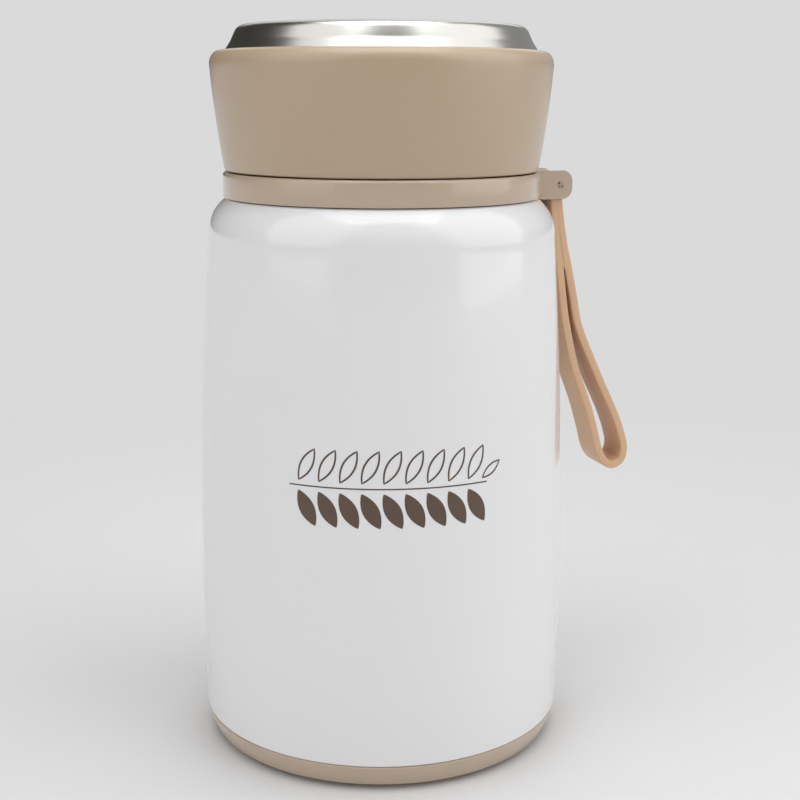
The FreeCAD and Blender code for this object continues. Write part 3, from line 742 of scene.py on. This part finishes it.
def lidSleeve(s):
    # the side runs up straight with a slight bow: low + (wide - low) * share + 4 * bow * share * (1 - share)
    share = np.linspace(0, 1, 24)
    radius = s["lowRadius"] + (s["wideRadius"] - s["lowRadius"]) * share + 4 * s["bow"] * share * (1 - share)
    side = np.stack([radius, s["foot"] + s["lowEdge"] + (s["sideTop"] - s["lowEdge"]) * share], 1)
    # the crown is a quarter of an ellipse
    t = np.linspace(0, np.pi / 2, 14)[1:]
    crownHeight = s["foot"] + s["sideTop"] + (s["height"] - s["sideTop"]) * np.sin(t)
    crown = np.stack([s["wideRadius"] - s["crownIn"] * (1 - np.cos(t)), crownHeight], 1)
    foot = rounded([
        (s["lip"], s["foot"]), (s["lowRadius"] - s["footRun"], s["foot"]), side[1],
    ], [s["footRound"]], steps=6)[:-1]
    top = s["foot"] + s["height"]
    wallRadius = s["wideRadius"] - s["wall"]
    inside = [
        (s["hole"], top), (s["hole"] + s["holeLean"], top - s["roof"]), (wallRadius, top - s["roof"]),
        (wallRadius, s["foot"] + s["innerHigh"]), (s["inner"], s["foot"] + s["innerLow"]),
        (s["inner"], s["foot"] + s["lipHeight"]), (s["lip"], s["foot"] + s["lipHeight"]),
    ]
    return lathe("lidSleeve", np.concatenate([foot, side[1:], crown, inside]), segments=256)


def lidBowl(s):
    # from the mouth up the side, in under the flare and over the foot to the recess in its middle
    floor = s["top"] - s["recess"]
    outline = rounded([
        (s["mouth"], s["mouthHeight"]), (s["mouth"], s["sideHeight"]), (s["waist"], s["waistHeight"]),
        (s["throat"], s["throatHeight"]), (s["flare"], s["flareHeight"]), (s["foot"], s["top"]),
        (s["recessRadius"] + 2 * s["recess"], s["top"]), (s["recessRadius"], floor), (0, floor),
    ], s["rounds"], steps=10)
    return lathe("lidBowl", band(outline, s["wall"]), segments=256)


dress(lidSleeve(lidSettings), beigeMoulding, "lid", "beige_gloss", "lid_sleeve")
dress(lidBowl(bowlSettings), brushedSteel, "lid", "steel", "lid_bowl")
print("lid made")


# printed sprig: leaves and a stem as thin patches that follow the painted side

printSettings = {
    "facing": cameraSettings["around"] - 90 + 2.3,  # degrees, 2.3 to the right of the camera's side
    "height": 80.8, "width": 52.0, "lift": 0.03, "stem": 0.35, "leaves": 9, "firstLeaf": 2.5, "lastLeaf": 5.5,
    "upper": {"rise": 1.2, "lean": 62, "length": 9.5, "width": 3.6, "line": 0.5},
    "lower": {"rise": -1.2, "lean": -62, "length": 10.0, "width": 4.2, "line": 0},
    "tip": {"in": 1.5, "rise": 1.0, "lean": 35, "length": 7.0, "width": 2.6, "line": 0.45},
}


def onSide(u, v, s):
    # u runs round the side in millimetres and v is the height; the patch stands lift above the paint
    radius = sideRadius(v) + s["lift"]
    angle = math.radians(s["facing"]) + u / bodySettings["belly"]
    return np.stack([radius * np.cos(angle), radius * np.sin(angle), v], -1)


def leafPatch(u0, leaf, s):
    # a leaf: its half width is width / 2 * sin(pi t)^0.8 along its length; a leaf with a line's width is only
    # an outline
    t = np.linspace(0, 1, 25)
    wide = leaf["width"] / 2 * np.sin(np.pi * t) ** 0.8
    if leaf["line"]:
        inner = np.maximum(wide - leaf["line"], 0)
        rows, pairs = [inner, wide, -wide, -inner], ((0, 1), (2, 3))
    else:
        rows, pairs = [wide * k for k in (-1, -0.5, 0, 0.5, 1)], ((0, 1), (1, 2), (2, 3), (3, 4))
    a = math.radians(leaf["lean"])
    parts = []
    for first, second in pairs:
        along, across = t * leaf["length"], np.stack([rows[first], rows[second]])
        u = u0 + along * math.cos(a) - across * math.sin(a)
        v = s["height"] + leaf["rise"] + along * math.sin(a) + across * math.cos(a)
        parts.append((onSide(u, v, s).reshape(-1, 3), gridFaces(2, len(t), wrapColumns=False)))
    return parts


def stemPatch(u, v, s):
    # a line of even width along a curve on the side
    curve = np.stack([u, v], 1)
    step = np.gradient(curve, axis=0)
    step /= np.linalg.norm(step, axis=1, keepdims=True)
    across = np.stack([-step[:, 1], step[:, 0]], 1) * s["stem"] / 2
    strip = np.stack([curve - across, curve + across])
    return onSide(strip[..., 0], strip[..., 1], s).reshape(-1, 3), gridFaces(2, len(u), wrapColumns=False)


def printedSprig(s):
    half = s["width"] / 2
    u = np.linspace(-half, half, 60)
    parts = [stemPatch(u, s["height"] + 0 * u, s)]
    for x in np.linspace(-half + s["firstLeaf"], half - s["lastLeaf"], s["leaves"]):
        parts += leafPatch(x, s["upper"], s)
        parts += leafPatch(x, s["lower"], s)
    parts += leafPatch(half - s["tip"]["in"], s["tip"], s)
    points, faces = joinArrays(parts)
    return meshFromArrays("printedSprig", points * mm, faces, sharp=60)


dress(printedSprig(printSettings), brownPrint, "vessel", "white_paint")


# CAD nodes that keep their own shape get a finish

nodeFinishes = {
    "shell_bottom": plainSteel, "getter": plainSteel, "vacuum_seal": sealDrop,
    "stopper_cap": whiteMoulding, "stopper_pan": whiteMoulding, "stopper_foam": foamBlock,
    "stopper_gasket": paleSilicone,
    "vent_diaphragm": paleSilicone, "vent_button": beigeGloss, "vent_valve": paleSilicone,
    "lid_thread_ring": whiteMoulding, "lid_gasket": paleSilicone,
}
for nodeName, material in nodeFinishes.items():
    mesh = nodes[nodeName].data
    mesh.materials.clear()
    mesh.materials.append(material)
print("CAD nodes finished")


# stage, in metres: a pale floor that melts into the backdrop's colour, and soft studio lamps

stageSettings = {
    "floor": (0.69, 0.69, 0.695), "floorRough": 0.6, "drop": 0.0002, "rings": [0.001, 0.3, 1.0, 3.0, 8.0],
    "far": (0.70, 0.70, 0.705), "fade": (0.10, 0.55), "ambient": 0.30,
    "corner": (-138, 25),  # azimuth and elevation of the middle of the painted dark reflection
    # the painted dark reflection: the range of facing over which it fades in, and its dark colour
    "paintedReflectionEdge": (0.60, 0.88), "paintedReflectionDark": (0.16, 0.15, 0.13), "lampAim": 0.1,
}
lampSettings = [
    {"name": "leftSoftbox", "azimuth": -54, "elevation": 34,
     "distance": 1.5, "wide": 1.4, "tall": 2.0, "power": 8.5},
    {"name": "rightSoftbox", "azimuth": 76, "elevation": 32,
     "distance": 1.5, "wide": 1.7, "tall": 2.0, "power": 13},
    {"name": "topPanel", "azimuth": 10, "elevation": 84,
     "distance": 1.4, "wide": 1.2, "tall": 1.2, "power": 11},
    {"name": "backFill", "azimuth": 180, "elevation": 40,
     "distance": 1.8, "wide": 1.4, "tall": 1.4, "power": 5},
]


def addFloor(s):
    ring = np.linspace(0, 2 * np.pi, 64, endpoint=False)
    r = np.array(s["rings"])[:, None]
    points = np.stack([r * np.cos(ring), r * np.sin(ring), 0 * r * ring - s["drop"]], -1).reshape(-1, 3)
    floor = meshFromArrays("floor", points, gridFaces(len(r), len(ring)))
    material = bpy.data.materials.new("paleFloor")
    material.use_nodes = True
    tree = material.node_tree
    matt = tree.nodes["Principled BSDF"]
    matt.inputs["Base Color"].default_value = (*s["floor"], 1)
    matt.inputs["Roughness"].default_value = s["floorRough"]
    glow = tree.nodes.new("ShaderNodeEmission")
    glow.inputs["Color"].default_value = (*s["far"], 1)
    place = tree.nodes.new("ShaderNodeTexCoord")
    distance = tree.nodes.new("ShaderNodeVectorMath")
    distance.operation = "LENGTH"
    tree.links.new(place.outputs["Object"], distance.inputs[0])
    fade = mapRange(tree, distance.outputs["Value"], source=s["fade"])
    fade.interpolation_type = "SMOOTHSTEP"
    # the glow is for what the camera sees directly, in reflections or through clear pieces
    light = tree.nodes.new("ShaderNodeLightPath")
    seen = mathNode(tree, "MAXIMUM", light.outputs["Is Camera Ray"], light.outputs["Is Glossy Ray"])
    seen = mathNode(tree, "MAXIMUM", seen, light.outputs["Is Transmission Ray"])
    share = mathNode(tree, "MULTIPLY", fade.outputs[0], seen)
    mixShaders(tree, matt.outputs[0], glow.outputs[0], share, tree.nodes["Material Output"])
    floor.data.materials.append(material)


def addWorld(s):
    world = bpy.data.worlds.new("studio")
    scene.world = world
    world.use_nodes = True
    tree = world.node_tree
    ambient = tree.nodes["Background"]
    ambient.inputs["Strength"].default_value = s["ambient"]
    backdrop = tree.nodes.new("ShaderNodeBackground")
    backdrop.inputs["Color"].default_value = (*s["far"], 1)
    # painted reflection: only glossy rays see a dark patch behind the jar on its left, so mirror-like
    # surfaces darken there while the light stays even
    place = tree.nodes.new("ShaderNodeTexCoord")
    facing = tree.nodes.new("ShaderNodeVectorMath")
    facing.operation = "DOT_PRODUCT"
    facing.inputs[1].default_value = aroundJar(*s["corner"], 1)
    tree.links.new(place.outputs["Generated"], facing.inputs[0])
    corner = mapRange(tree, facing.outputs["Value"], source=s["paintedReflectionEdge"])
    light = tree.nodes.new("ShaderNodeLightPath")
    share = mathNode(tree, "MULTIPLY", corner.outputs[0], light.outputs["Is Glossy Ray"])
    tree.links.new(mixColours(tree, (1, 1, 1), s["paintedReflectionDark"], share), ambient.inputs["Color"])
    seen = light.outputs["Is Camera Ray"]
    mixShaders(tree, ambient.outputs[0], backdrop.outputs[0], seen, tree.nodes["World Output"])


def addLamps(lamps, s):
    target = Vector((0, 0, s["lampAim"]))
    for lamp in lamps:
        data = bpy.data.lights.new(lamp["name"], "AREA")
        data.shape = "RECTANGLE"
        data.size, data.size_y = lamp["wide"], lamp["tall"]
        data.energy = lamp["power"]
        light = bpy.data.objects.new(lamp["name"], data)
        light.location = target + aroundJar(lamp["azimuth"], lamp["elevation"], lamp["distance"])
        light.rotation_euler = (target - light.location).to_track_quat("-Z", "Y").to_euler()
        scene.collection.objects.link(light)


addFloor(stageSettings)
addWorld(stageSettings)
addLamps(lampSettings, stageSettings)
print("stage made")
